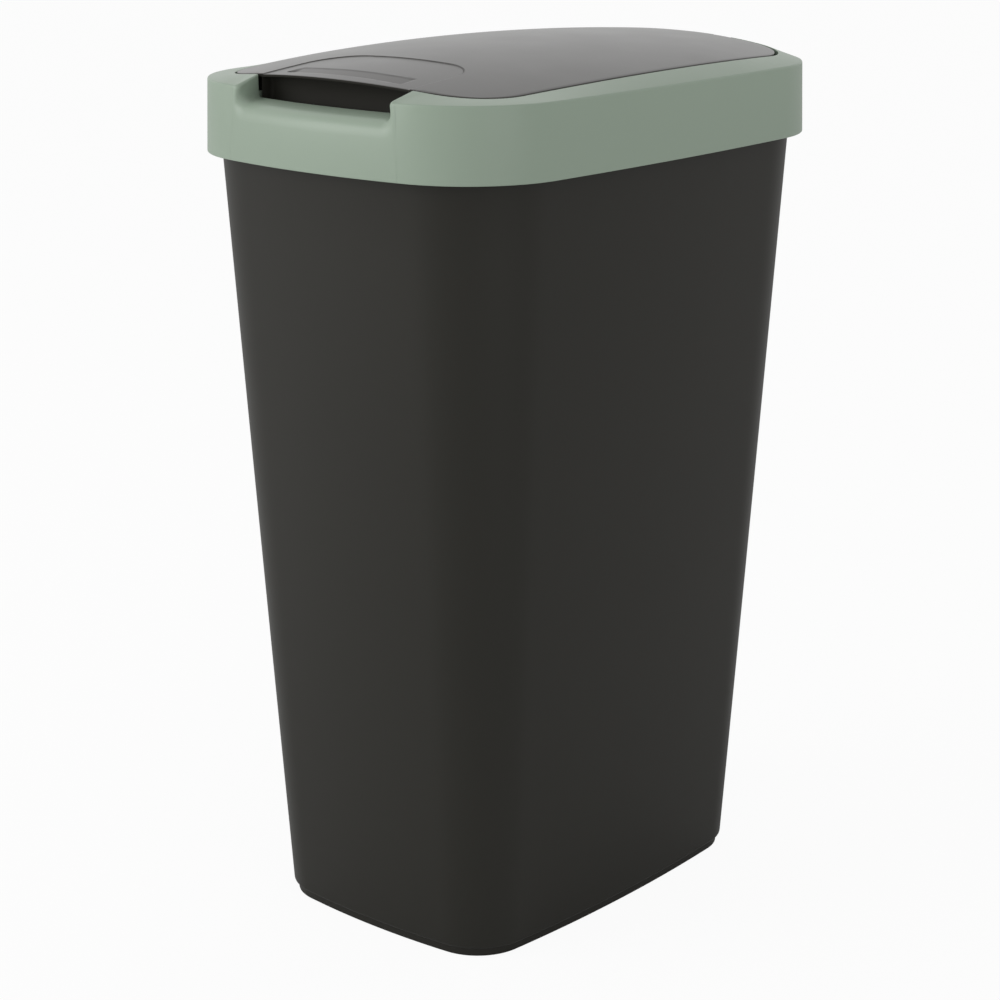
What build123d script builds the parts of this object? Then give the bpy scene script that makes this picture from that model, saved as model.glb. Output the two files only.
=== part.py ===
from build123d import *

import os
from math import asin, degrees, sqrt

# Recycling bin in millimetres, +Z up, front towards -Y, origin under the middle of the foot.

# Overall form
depth = 401.0
width = 288.0
crown_top = 602.5

# Main heights, each measured down from the top of the lid's crown
crown_rise = 19.0
crease_height = crown_top - crown_rise
crease_above_rim = 27.5
rim_height = crease_height - crease_above_rim

# Bucket
foot_height = 6.0
foot_inset = 3.1
foot_wall = 4.0
bucket_wall = 2.2
bucket_floor = 2.6
side_taper = 37.6
end_taper = 48.7
bottom_half_width = width / 2 - side_taper
bottom_half_depth = depth / 2 - end_taper
bottom_corner = 40.3
bottom_end_bow = 607.0
bottom_side_bow = 1314.0
bottom_edge_round = 2.5
rim_thickness = 2.2
rim_lip_drop = 7.0
rim_lip_wall = 2.0
rim_play = 0.5

# Collar: outside band, top bevel and rim round the lid
collar_wall = 2.4
collar_below_rim = 21.0
collar_base_height = rim_height - collar_below_rim
collar_overhang = 10.0
collar_corner = 76.0
collar_end_bow = 485.0
collar_side_bow = 2315.0
collar_draft = 1.5
side_deck = 17.0
end_deck = 21.7
opening_half_width = width / 2 - side_deck
opening_half_depth = depth / 2 - end_deck
opening_corner = 48.5
opening_end_bow = 452.0
opening_side_bow = 1149.0
rim_wall = 2.0
throat_below_rim = 13.0
throat_base_height = rim_height - throat_below_rim
ledge_below_crease = 5.8
ledge_height = crease_height - ledge_below_crease
ledge_width = 9.0
ledge_thickness = 2.0
rib_thickness = 2.2
seat_gap = 0.3

# Finger notch in the front of the collar
notch_side_margin = 77.0
notch_half_width = width / 2 - notch_side_margin
notch_crease_drop = 19.5
notch_crease_height = crease_height - notch_crease_drop
notch_rim_drop = 9.2
notch_rim_height = crease_height - notch_rim_drop
notch_reach = 40.0

# Lid
crown_side_fall = 11.9
crown_width_radius = (opening_half_width**2 + crown_side_fall**2) / (2 * crown_side_fall)
crown_end_fall = 8.6
crown_length_radius = (opening_half_depth**2 + crown_end_fall**2) / (2 * crown_end_fall)
crown_peak_back = 19.4
lid_gap = 1.5
lid_plate = 2.6
lid_skirt_inset = 4.0
lid_skirt_wall = 2.0
grip_side_margin = 3.5
grip_half_width = notch_half_width - grip_side_margin
grip_depth = 12.0
grip_wall = 2.0
grip_below_ledge = 6.7
grip_base_height = ledge_height - grip_below_ledge
recess_side_margin = 3.0
recess_half_width = notch_half_width - recess_side_margin
recess_reach = 74.0
recess_corner = 28.0
recess_step = 0.9
thumb_side_margin = 19.0
thumb_half_length = notch_half_width - thumb_side_margin
thumb_back = 20.0
thumb_width = 16.0
thumb_depth = 2.4

# Hinge across the back of the collar
hinge_spread = 45.0
hinge_from_back = 12.5
hinge_above_crease = 0.7
hinge_height = crease_height + hinge_above_crease
pin_radius = 2.0
pin_chamfer = 0.4
pin_fit = 0.05
knuckle_radius = 4.0
knuckle_length = 16.0
knuckle_side_play = 0.5
knuckle_play = 0.08
slot_back_play = 0.7
slot_base_play = 1.5
lug_thickness = 4.0
lug_drop = 6.0
hinge_relief = 2.0

# How far a cutting form runs past what it cuts
overshoot = 20.0
cut_margin = 1.0


def outline(half_width, half_depth, corner, end_bow, side_bow, height, inset=0.0):
    """A rounded rectangle with four gently bowed sides, drawn as eight tangent arcs."""
    end_radius = end_bow - inset
    side_radius = side_bow - inset
    corner_radius = corner - inset
    end_centre = Vector(0, half_depth - end_bow)
    side_centre = Vector(half_width - side_bow, 0)
    # The corner's centre lies on a circle round each of the two bow centres.
    reach = end_bow - corner
    other_reach = side_bow - corner
    between = side_centre - end_centre
    along = (reach**2 - other_reach**2 + between.length**2) / (2 * between.length)
    across = sqrt(reach**2 - along**2)
    direction = between.normalized()
    centre = end_centre + direction * along + Vector(direction.Y, -direction.X) * across
    to_end = (centre - end_centre).normalized()
    to_side = (centre - side_centre).normalized()
    end_point = end_centre + to_end * end_radius
    side_point = side_centre + to_side * side_radius
    corner_point = centre + (to_end + to_side).normalized() * corner_radius
    end_middle = Vector(0, half_depth - inset)
    side_middle = Vector(half_width - inset, 0)

    def mirrored(point, x_sign, y_sign):
        return Vector(point.X * x_sign, point.Y * y_sign, height)

    edges = []
    quarters = [(1, 1), (-1, 1), (-1, -1), (1, -1)]
    for x_sign, y_sign in quarters:
        corner_ends = [mirrored(p, x_sign, y_sign) for p in (side_point, corner_point, end_point)]
        if x_sign * y_sign < 0:
            corner_ends.reverse()
        edges.append(ThreePointArc(*corner_ends))
        if x_sign * y_sign > 0:
            start = mirrored(end_point, x_sign, y_sign)
            middle = mirrored(end_middle, x_sign, y_sign)
            finish = mirrored(end_point, -x_sign, y_sign)
        else:
            start = mirrored(side_point, x_sign, y_sign)
            middle = mirrored(side_middle, x_sign, y_sign)
            finish = mirrored(side_point, x_sign, -y_sign)
        edges.append(ThreePointArc(start, middle, finish))
    return Face(Wire(edges))


def bucket_outline(height, inset=0.0):
    """The bucket's outline at a height, on a straight taper from the foot to under the collar."""
    share = (height - foot_height) / (collar_base_height - foot_height)

    def between(low, high):
        return low + (high - low) * share

    return outline(
        between(bottom_half_width, width / 2 - collar_overhang),
        between(bottom_half_depth, depth / 2 - collar_overhang),
        between(bottom_corner, collar_corner - collar_overhang),
        between(bottom_end_bow, collar_end_bow - collar_overhang),
        between(bottom_side_bow, collar_side_bow - collar_overhang),
        height,
        inset,
    )


def collar_outline(height, inset=0.0):
    """The collar's band at a height, drawn in slightly towards the crease."""
    share = (height - collar_base_height) / (crease_height - collar_base_height)
    return outline(
        width / 2,
        depth / 2,
        collar_corner,
        collar_end_bow,
        collar_side_bow,
        height,
        inset + collar_draft * share,
    )


def opening_outline(height, inset=0.0):
    """The rim of the collar that the lid sits in."""
    return outline(
        opening_half_width,
        opening_half_depth,
        opening_corner,
        opening_end_bow,
        opening_side_bow,
        height,
        inset,
    )


def opening_post(low, high, inset=0.0):
    """An upright post with the outline of the lid opening."""
    return extrude(opening_outline(low, inset), high - low, dir=(0, 0, 1))


def block(x_low, x_high, y_low, y_high, z_low, z_high):
    """A box from its six limits."""
    size = Box(x_high - x_low, y_high - y_low, z_high - z_low)
    middle = ((x_low + x_high) / 2, (y_low + y_high) / 2, (z_low + z_high) / 2)
    return Pos(*middle) * size


def crown(drop=0.0):
    """The solid under the lid's crowned top, or under a surface that much lower."""
    half = width / 2 + overshoot
    radius = crown_width_radius - drop
    top = crown_top - drop
    edge = top - radius + sqrt(radius**2 - half**2)
    base = crown_top / 2
    arc = ThreePointArc((-half, 0, edge), (0, 0, top), (half, 0, edge))
    rest = Polyline((half, 0, edge), (half, 0, base), (-half, 0, base), (-half, 0, edge))
    section = Pos(0, crown_peak_back, 0) * Face(Wire([arc] + rest.edges()))
    axis = Axis((0, crown_peak_back, crown_top - crown_length_radius), (1, 0, 0))
    swing = 2 * degrees(asin((depth / 2 + overshoot + crown_peak_back) / crown_length_radius))
    return revolve(section, axis, swing).rotate(axis, -swing / 2)


def by_angle(edges):
    """Edges in order round the Z axis."""

    def angle(edge):
        return Vector(edge.center().X, edge.center().Y).get_signed_angle(Vector(1, 0))

    return sorted(edges, key=angle)


def crowned_roof(inset, drop):
    """The solid above the crease: sloping sides up to the rim, and the crown inside it."""
    base = collar_outline(crease_height, inset).moved(Location((0, 0, -drop / 2)))
    post = opening_post(crease_height - overshoot, crown_top + overshoot) & crown(drop)
    top = post.faces().sort_by(Axis.Z)[-1]
    pairs = zip(by_angle(base.edges()), by_angle(top.outer_wire().edges()))
    sides = [Face.make_surface_from_curves(low, high) for low, high in pairs]
    return Solid(Shell([base, top] + sides))


def collar_form(inset=0.0, drop=0.0, side=0.0, below=0.0):
    """The collar as one filled form, with the finger notch sunk into its front."""
    base = collar_outline(collar_base_height, inset).moved(Location((0, 0, -below)))
    band = loft([base, collar_outline(crease_height, inset).moved(Location((0, 0, -drop / 2)))], ruled=True)
    full = band + crowned_roof(inset, drop)
    notch_crease = collar_outline(notch_crease_height, inset).moved(Location((0, 0, -drop / 2)))
    low_band = loft([base, notch_crease], ruled=True)
    low_roof = loft([notch_crease, opening_outline(notch_rim_height - drop)], ruled=True)
    reach = notch_half_width + side
    front = -depth / 2
    low = collar_base_height - below - overshoot
    notch = block(-reach, reach, front - overshoot, front + notch_reach, low, crown_top + overshoot)
    return (full - notch) + ((low_band + low_roof) & notch)


def both_sides(make):
    """One piece of the hinge at each end of it."""
    return [make(side) for side in (-1, 1)]


hinge_back = depth / 2 - hinge_from_back
slot_half = knuckle_length / 2 + knuckle_side_play
lug_outer = slot_half + lug_thickness


def across(radius, length, middle, y, z):
    """A round bar along X."""
    return Pos(middle, y, z) * Rot(0, 90, 0) * Cylinder(radius, length)


def hinge_slot(side):
    """The room in the collar for one knuckle and its arm, open at the top."""
    middle = side * hinge_spread
    back = hinge_back + knuckle_radius + slot_back_play
    base = hinge_height - knuckle_radius - slot_base_play
    return block(middle - slot_half, middle + slot_half, 0, back, base, crown_top + overshoot)


def hinge_lugs(side):
    """The two walls beside a slot, which carry its pin under the bevel."""
    middle = side * hinge_spread
    base = hinge_height - knuckle_radius - lug_drop
    return block(middle - lug_outer, middle + lug_outer, 0, depth / 2, base, crown_top)


def seat_ribs():
    """Upright ribs under the bevel, whose feet stand on the bucket's rim."""
    low = rim_height + seat_gap
    half = rib_thickness / 2
    ribs = []
    for y in (-opening_half_depth / 2, 0, opening_half_depth / 2):
        ribs.append(block(-width, width, y - half, y + half, low, crown_top))
    rear_x = hinge_spread + lug_outer + overshoot
    for x in (-rear_x, 0, rear_x):
        ribs.append(block(x - half, x + half, 0, depth, low, crown_top))
    for x in (-rear_x, rear_x):
        ribs.append(block(x - half, x + half, -depth, 0, low, crown_top))
    return Part() + ribs


def make_collar():
    """The band, its bevel and rim, the ledge under the lid, the throat inside the bucket and the hinge lugs."""
    outside = collar_form()
    inside = collar_form(collar_wall, collar_wall, collar_wall, overshoot)
    top = crown_top + overshoot
    throat = opening_post(throat_base_height, top, -rim_wall) & outside
    supports = (Part() + [seat_ribs()] + both_sides(hinge_lugs)) & inside
    collar = outside - inside + throat + supports
    lid_room = opening_post(ledge_height, top)
    collar -= lid_room
    collar -= Pos(0, hinge_relief, 0) * lid_room
    collar -= opening_post(throat_base_height - overshoot, top, ledge_width)
    collar -= opening_post(throat_base_height - overshoot, ledge_height - ledge_thickness)
    for side in (-1, 1):
        collar -= hinge_slot(side)
        hole_length = 2 * (lug_outer + cut_margin)
        collar -= across(pin_radius + pin_fit, hole_length, side * hinge_spread, hinge_back, hinge_height)
    return collar


def flange_outline(height, inset=0.0):
    """The bucket's rim, just inside the collar's band."""
    return collar_outline(height, collar_wall + rim_play + inset)


def make_bucket():
    """The tapered bucket on its foot ring, with a floor and a turned-down rim."""
    outside = loft([bucket_outline(foot_height), bucket_outline(rim_height)], ruled=True)
    outside = fillet(outside.edges().group_by(Axis.Z)[0], bottom_edge_round)
    flange_base = rim_height - rim_thickness
    lip_base = flange_base - rim_lip_drop
    flange = loft([flange_outline(flange_base), flange_outline(rim_height)], ruled=True)
    lip = loft([flange_outline(lip_base), flange_outline(rim_height)], ruled=True)
    lip -= loft([flange_outline(lip_base, rim_lip_wall), flange_outline(rim_height, rim_lip_wall)], ruled=True)
    floor_top = foot_height + bucket_floor
    mouth = rim_height + overshoot
    hollow = loft([bucket_outline(floor_top, bucket_wall), bucket_outline(mouth, bucket_wall)], ruled=True)
    foot = extrude(bucket_outline(foot_height, foot_inset), foot_height + bucket_floor / 2, both=True)
    foot -= extrude(bucket_outline(foot_height, foot_inset + foot_wall), foot_height, dir=(0, 0, -1))
    foot &= block(-width, width, -depth, depth, 0, floor_top)
    return outside + flange + lip + foot - hollow


def grip_room(wall=0.0):
    """The finger room behind the notch, or the same with its walls round it."""
    reach = grip_half_width + wall
    back = grip_depth - opening_half_depth + lid_gap + wall
    return block(-reach, reach, -depth / 2, back, grip_base_height, crown_top)


def thumb_scoop(extra=0.0):
    """A shallow round-bottomed trough along X in the lid's top, or the same made larger by its wall."""
    radius = thumb_width**2 / (8 * thumb_depth) + thumb_depth / 2
    y = thumb_back - opening_half_depth
    drop = (crown_peak_back - y) ** 2 / (2 * crown_length_radius) + recess_step
    z = crown_top - drop + radius - thumb_depth
    return across(radius + extra, 2 * (thumb_half_length + extra), 0, y, z)


def recess_layer():
    """The thin layer taken off the lid's top behind the grip."""
    front = -depth / 2
    back = recess_reach - opening_half_depth
    middle = (front + back) / 2
    sheet = Box(2 * recess_half_width, back - front, 2 * overshoot)
    sheet = fillet(sheet.edges().filter_by(Axis.Z).group_by(Axis.Y)[-1], recess_corner)
    return Pos(0, middle, crown_top - overshoot / 2) * sheet - crown(recess_step)


def hinge_arm(side):
    """One knuckle and the arm that joins it to the lid's skirt."""
    middle = side * hinge_spread
    skirt = opening_half_depth - lid_gap - lid_skirt_inset - lid_skirt_wall - lid_gap
    half = knuckle_length / 2
    arm = block(
        middle - half, middle + half, skirt, hinge_back, hinge_height - knuckle_radius, hinge_height + knuckle_radius
    )
    inside = opening_post(0, crown_top, lid_gap + lid_skirt_inset + lid_skirt_wall / 2)
    knuckle = across(knuckle_radius, knuckle_length, middle, hinge_back, hinge_height)
    return arm - inside + knuckle


def make_lid():
    """The crowned plate, its skirt, the grip at the front, the shallow recesses and the hinge knuckles."""
    skirt_base = ledge_height + seat_gap
    skirt_inset = lid_gap + lid_skirt_inset
    filled = opening_post(grip_base_height, crown_top + overshoot, lid_gap) & crown()
    skirt = opening_post(skirt_base, crown_top, skirt_inset)
    skirt -= opening_post(skirt_base, crown_top, skirt_inset + lid_skirt_wall)
    grip_walls = grip_room(grip_wall) & opening_post(grip_base_height, crown_top, lid_gap)
    scoop_wall = thumb_scoop(grip_wall) & block(-width, width, -depth, 0, ledge_height, crown_top)
    walls = skirt + grip_walls - grip_room() + scoop_wall
    lid = filled - (crown(lid_plate) - walls)
    lid -= recess_layer()
    lid -= thumb_scoop()
    bore_length = knuckle_length + 2 * cut_margin
    for side in (-1, 1):
        lid += hinge_arm(side)
        lid -= across(pin_radius + knuckle_play, bore_length, side * hinge_spread, hinge_back, hinge_height)
    return lid


def make_pin(side):
    """A plain hinge pin, as long as the two lugs and the slot between them."""
    pin = across(pin_radius, 2 * lug_outer, side * hinge_spread, hinge_back, hinge_height)
    return chamfer(pin.edges().group_by(Axis.X)[0] + pin.edges().group_by(Axis.X)[-1], pin_chamfer)


os.makedirs("parts", exist_ok=True)
nodes = {
    "bin_body": make_bucket(),
    "collar_frame": make_collar(),
    "lid_shell": make_lid(),
    "hinge_pin_left": make_pin(-1),
    "hinge_pin_right": make_pin(1),
}
for name, solid in nodes.items():
    export_step(solid, f"parts/{name}.step")
    print(name, round(solid.volume), len(solid.solids()))
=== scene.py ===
# %% [markdown]
# # A flip-lid recycling bin
# The real bin is three plastic mouldings: a tall dark bucket, a green collar that clips over
# its rim, and a crowned dark lid that hinges at the back of the collar. The CAD model is
# already in place when this lesson starts, in metres, with the front towards -Y. Each big
# moulding gets a finer skin here, with soft moulded edges, and rides on the same body.

# %% Load the fixed frame
from math import atan2, cos, pi, radians, sin, sqrt

import bmesh
import bpy
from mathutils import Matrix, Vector


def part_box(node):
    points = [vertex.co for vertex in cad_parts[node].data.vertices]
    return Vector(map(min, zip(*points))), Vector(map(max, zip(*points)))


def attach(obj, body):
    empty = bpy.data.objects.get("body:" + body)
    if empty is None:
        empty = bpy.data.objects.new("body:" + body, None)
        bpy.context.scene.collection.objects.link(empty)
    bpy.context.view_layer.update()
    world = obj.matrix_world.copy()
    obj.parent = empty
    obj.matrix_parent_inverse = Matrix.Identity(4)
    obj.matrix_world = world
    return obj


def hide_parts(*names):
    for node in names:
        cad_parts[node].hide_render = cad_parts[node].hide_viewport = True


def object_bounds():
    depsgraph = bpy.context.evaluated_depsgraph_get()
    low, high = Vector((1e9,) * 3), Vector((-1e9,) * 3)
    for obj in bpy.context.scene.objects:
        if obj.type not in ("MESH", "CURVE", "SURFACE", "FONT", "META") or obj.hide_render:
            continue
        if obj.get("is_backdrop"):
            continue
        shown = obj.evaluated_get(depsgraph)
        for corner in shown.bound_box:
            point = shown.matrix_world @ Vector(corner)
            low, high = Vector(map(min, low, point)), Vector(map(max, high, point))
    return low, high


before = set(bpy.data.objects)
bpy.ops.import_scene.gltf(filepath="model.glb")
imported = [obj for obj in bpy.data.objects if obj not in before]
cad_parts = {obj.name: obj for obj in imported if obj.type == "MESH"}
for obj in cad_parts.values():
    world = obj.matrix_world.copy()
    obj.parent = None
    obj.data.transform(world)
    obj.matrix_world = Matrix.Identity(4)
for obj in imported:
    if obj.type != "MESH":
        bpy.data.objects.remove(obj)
cad_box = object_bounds()
bpy.ops.object.select_all(action="DESELECT")
print("CAD nodes:", sorted(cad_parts))

# %% [markdown]
# ## Sizes
# The bin was measured in millimetres, so the sizes are written that way and turned into
# metres once. The heights that everything else hangs from are the crown of the lid, the
# crease round the collar and the rim of the bucket.

# %% Main sizes
MM = 0.001
half_width = 144 * MM
half_depth = 200.5 * MM
crown_top = 602.5 * MM
crease_height = 583.5 * MM
rim_height = 556 * MM
collar_base = 535 * MM
foot_height = 6 * MM
ledge_height = 577.7 * MM
print("crown at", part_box("lid_shell")[1].z, "m in the CAD model")

# %% [markdown]
# ## One outline for every row
# Seen from above, the bucket, the collar and the lid all have the same kind of outline: a
# rectangle with round corners and gently bowed sides. It is eight arcs that meet smoothly.
# An outline is kept here as five numbers, and one helper works out its arcs. A drawn curve
# would do as well, but rows of points at known places are easy to join into clean quads.


# %% The eight tangent arcs
def outline(wide, deep, corner, end_bow, side_bow):
    """Half width, half depth, and the radii of the corners, the bowed ends and the bowed sides."""
    return {"wide": wide, "deep": deep, "corner": corner, "end": end_bow, "side": side_bow}


def corner_centre(shape):
    """Where the centre of the right rear corner's arc lies."""
    end = Vector((0, shape["deep"] - shape["end"]))
    side = Vector((shape["wide"] - shape["side"], 0))
    reach = shape["end"] - shape["corner"]
    other = shape["side"] - shape["corner"]
    between = side - end
    along = (reach**2 - other**2 + between.length**2) / (2 * between.length)
    across = sqrt(reach**2 - along**2)
    line = between.normalized()
    return end + line * along + Vector((line.y, -line.x)) * across


def arcs(shape, inset):
    """Centre, radius, start angle and turn of each arc, from the right side round to the left and back."""
    corner = corner_centre(shape)
    side_tilt = atan2(corner.y, corner.x - shape["wide"] + shape["side"])
    end_tilt = atan2(corner.x, corner.y - shape["deep"] + shape["end"])
    bend = pi / 2 - side_tilt - end_tilt
    side, end, small = shape["side"] - inset, shape["end"] - inset, shape["corner"] - inset
    side_x, end_y = shape["wide"] - shape["side"], shape["deep"] - shape["end"]
    found = []
    for turn in (0, pi):
        sign = 1 if turn == 0 else -1
        found.append((Vector((side_x, 0)) * sign, side, turn - side_tilt, 2 * side_tilt))
        found.append((corner * sign, small, turn + side_tilt, bend))
        found.append((Vector((0, end_y)) * sign, end, turn + side_tilt + bend, 2 * end_tilt))
        found.append((Vector((-corner.x, corner.y)) * sign, small, turn + pi / 2 + end_tilt, bend))
    return found


def outline_points(shape, inset, counts):
    """Points along the outline. The counts are steps on a side, a corner, the rear end and the front end."""
    side_steps, corner_steps, rear_steps, front_steps = counts
    steps = [side_steps, corner_steps, rear_steps, corner_steps]
    steps += [side_steps, corner_steps, front_steps, corner_steps]
    points = []
    for (centre, radius, start, turn), number in zip(arcs(shape, inset), steps):
        for step in range(number):
            angle = start + turn * step / number
            points.append(centre + Vector((cos(angle), sin(angle))) * radius)
    return points


def row_length(counts):
    """How many points a whole row has."""
    return 2 * counts[0] + 4 * counts[1] + counts[2] + counts[3]


def mix(low, high, share):
    return low + (high - low) * share


collar_band = outline(half_width, half_depth, 76 * MM, 485 * MM, 2315 * MM)
lid_opening = outline(127 * MM, 178.8 * MM, 48.5 * MM, 452 * MM, 1149 * MM)
bucket_top = outline(half_width - 10 * MM, half_depth - 10 * MM, 66 * MM, 475 * MM, 2305 * MM)
bucket_foot = outline(106.4 * MM, 151.8 * MM, 40.3 * MM, 607 * MM, 1314 * MM)
band_lean = 1.5 * MM


def bucket_outline(height):
    """The bucket tapers in a straight line from under the collar to the foot."""
    share = (height - foot_height) / (collar_base - foot_height)
    return {key: mix(bucket_foot[key], bucket_top[key], share) for key in bucket_foot}


def band_inset(height):
    """The collar's band leans in a little towards the crease."""
    return band_lean * (height - collar_base) / (crease_height - collar_base)


print("corner of the collar is centred at", corner_centre(collar_band))

# %% [markdown]
# ## Helpers for building by hand
# Every moulding starts as a stack of circles, one for each corner of the wall's
# cross-section. Bridge Edge Loops joins each circle to the next with a band of quads, and
# only then are the circles laid onto their outlines. The cross-section goes out one side of
# the wall and back on the other, so the skin has real thickness. On the bucket and the lid
# the rows that are real edges get a bevel weight, and a Bevel modifier rounds each by its
# own amount. The collar's edges are rounded with rows of their own.


# %% Rows of points and the bands between them
stack_step = 10 * MM


def new_piece(name):
    """An empty mesh object in edit mode, with nothing else selected."""
    bpy.ops.object.select_all(action="DESELECT")
    piece = bpy.data.objects.new(name, bpy.data.meshes.new(name))
    bpy.context.scene.collection.objects.link(piece)
    bpy.context.view_layer.objects.active = piece
    piece.select_set(True)
    bpy.ops.object.mode_set(mode="EDIT")
    bpy.ops.mesh.select_mode(type="VERT")
    return piece


def stack(name, rows, closed=True):
    """A stack of circles, each joined to the next, whose points are then moved to their places."""
    piece = new_piece(name)
    length = len(rows[0])
    for row in range(len(rows)):
        bpy.ops.mesh.primitive_circle_add(
            vertices=length, radius=half_width, location=(0, 0, row * stack_step)
        )
    pairs = [(row, row + 1) for row in range(len(rows) - 1)]
    if closed:
        pairs.append((len(rows) - 1, 0))
    for pair in pairs:
        select_rows(piece, pair, length)
        bpy.ops.mesh.bridge_edge_loops()
    made = bmesh.from_edit_mesh(piece.data)
    made.verts.ensure_lookup_table()
    for number, place in enumerate(place for row in rows for place in row):
        made.verts[number].co = place
    bmesh.update_edit_mesh(piece.data)
    return piece


def row_edges(made, row, length):
    """The edges that run along one row of the mesh being edited."""
    made.verts.ensure_lookup_table()
    start = row * length
    for number in range(length):
        ends = made.verts[start + number], made.verts[start + (number + 1) % length]
        yield made.edges.get(ends)


def select_rows(piece, rows, length):
    """Selects only the edges that run along the rows."""
    bpy.ops.mesh.select_all(action="DESELECT")
    bpy.ops.mesh.select_mode(type="EDGE")
    made = bmesh.from_edit_mesh(piece.data)
    for row in rows:
        for edge in row_edges(made, row, length):
            edge.select = True
    bmesh.update_edit_mesh(piece.data)


def weigh_rows(piece, roundings, length):
    """Gives the edges along each row a bevel weight. The widest rounding has a weight of one."""
    widest = max(roundings)
    made = bmesh.from_edit_mesh(piece.data)
    layer = made.edges.layers.float.new("bevel_weight_edge")
    for row, rounding in enumerate(roundings):
        for edge in row_edges(made, row, length):
            edge[layer] = rounding / widest
    bmesh.update_edit_mesh(piece.data)
    return widest


def face_outwards(piece):
    """Points every face away from the material."""
    bpy.ops.mesh.select_all(action="SELECT")
    bpy.ops.mesh.normals_make_consistent(inside=False)


def round_weighted(piece, width, segments=3):
    """Rounds the weighted edges and leaves the rest."""
    bpy.ops.object.mode_set(mode="OBJECT")
    bevel = piece.modifiers.new("soft edges", "BEVEL")
    bevel.limit_method = "WEIGHT"
    bevel.width = width
    bevel.segments = segments
    bevel.use_clamp_overlap = False
    bpy.ops.object.modifier_apply(modifier=bevel.name)


def smooth(piece, angle=40):
    """Smooth shading that still breaks at hard edges."""
    bpy.ops.object.select_all(action="DESELECT")
    bpy.context.view_layer.objects.active = piece
    piece.select_set(True)
    bpy.ops.object.shade_smooth_by_angle(angle=radians(angle))


def at(point, height):
    return Vector((point.x, point.y, height))


# %% [markdown]
# ## The bucket
# The bucket is one deep moulding on a foot ring that steps in under it, so that it seems to
# stand on a shadow. Its wall is a little over 2 mm thick and its rim turns out and down,
# hidden by the collar. The rows below walk round that cross-section: from the foot ring up
# the outside, over the rim, down the inside, and across the floor.


# %% The bucket's cross-section, row by row
bucket_counts = (40, 16, 30, 30)
wall = 2.2 * MM
floor_top = foot_height + 2.6 * MM
bottom_round = 2.5 * MM
bottom_steps = 6
foot_inset = 3.1 * MM
foot_wall = 4 * MM
rim_play = 2.9 * MM
fold_height = rim_height - 2.2 * MM
flange_base = rim_height - 9.2 * MM
flange_wall = 2 * MM


def foot_row(height, inset, rounding=0.0):
    """The foot ring goes straight down from the lowest outline."""
    return bucket_outline(foot_height), inset, height, rounding


def wall_row(height, inset, rounding=0.0):
    return bucket_outline(height), inset, height, rounding


def flange_row(height, inset, rounding=0.0):
    """The turned-out rim follows the inside of the collar."""
    return collar_band, rim_play + band_inset(height) + inset, height, rounding


bucket_rows = [
    foot_row(foot_height, foot_inset + foot_wall, 0.3 * MM),
    foot_row(0.0, foot_inset + foot_wall, 0.5 * MM),
    foot_row(0.0, foot_inset, 0.6 * MM),
    foot_row(foot_height, foot_inset),
]
for step in range(1, bottom_steps + 1):
    angle = step / bottom_steps * pi / 2
    height = foot_height + bottom_round * (1 - cos(angle))
    bucket_rows.append(wall_row(height, bottom_round * (1 - sin(angle))))
bucket_rows += [wall_row(mix(foot_height + bottom_round, fold_height, n / 8), 0.0) for n in range(1, 8)]
bucket_rows += [
    wall_row(fold_height, 0.0, 0.8 * MM),
    flange_row(fold_height, flange_wall, 0.5 * MM),
    flange_row(flange_base, flange_wall, 0.5 * MM),
    flange_row(flange_base, 0.0, 0.5 * MM),
    flange_row(rim_height, 0.0, 1.0 * MM),
    wall_row(rim_height, wall, 1.0 * MM),
]
bucket_rows += [wall_row(mix(rim_height, floor_top + bottom_round, n / 6), wall) for n in range(1, 6)]
bucket_rows += [wall_row(floor_top, wall, 3 * MM)]

# %% Build the bucket
bucket_length = row_length(bucket_counts)
bucket_places = []
for shape, inset, height, rounding in bucket_rows:
    bucket_places.append([at(point, height) for point in outline_points(shape, inset, bucket_counts)])
bucket = stack("bucket_skin", bucket_places, closed=False)
bucket_round = weigh_rows(bucket, [row[3] for row in bucket_rows], bucket_length)
for row in (0, len(bucket_rows) - 1):
    select_rows(bucket, (row,), bucket_length)
    bpy.ops.mesh.edge_face_add()
    bpy.ops.mesh.inset(thickness=20 * MM)
    bpy.ops.mesh.poke()
face_outwards(bucket)
round_weighted(bucket, bucket_round)
smooth(bucket)
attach(bucket, "bucket")
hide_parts("bin_body")
print("bucket faces:", len(bucket.data.polygons))

# %% [markdown]
# ## The crown
# The lid's top is a shallow dome: it curves a lot across the bin and only a little along it,
# highest just behind the middle. The collar's rim follows the same dome, so that the lid
# sits flush in it. One small function gives the dome's height, and both mouldings use it.


# %% The dome that the lid and the collar's rim share
crown_across = 683.6 * MM
crown_along = 1863 * MM
crown_back = 19.4 * MM


def crown(x, y):
    """The height of the dome over a point."""
    low = crown_across - sqrt(crown_across**2 - x**2)
    ridge = crown_along - low
    return crown_top - crown_along + sqrt(ridge**2 - (y - crown_back) ** 2)


# %% [markdown]
# ## The collar
# The collar is a band with a crease, a sloping deck above it, a rim round the lid, a ledge
# that the lid rests on, and a throat that reaches down into the bucket. At the front the
# band dips to make room for fingers. A cut would leave hard corners there, and the real
# moulding has soft ones, so the columns of points near the notch are gathered onto its
# walls: first a hollow round off the floor, then the wall, then a round over onto the deck.
# The front edge of the notch's floor rounds over onto the band.

# %% Where the columns of points stand
collar_counts = (60, 20, 60, 120)
front_start = 2 * collar_counts[0] + 3 * collar_counts[1] + collar_counts[2]
notch_zone = (6, 24, 60, 24, 6)
zone_outer = 78 * MM
zone_inner = 56 * MM
relief = 2 * MM
hollow_end = 0.4
wall_end = 0.6
most_hollow = 0.68
most_over = 0.25
wall_lean = 0.4 * MM
front_hollow = 8.5 * MM
spread_wall = 70.5 * MM
spread_over = 3 * MM


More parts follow.
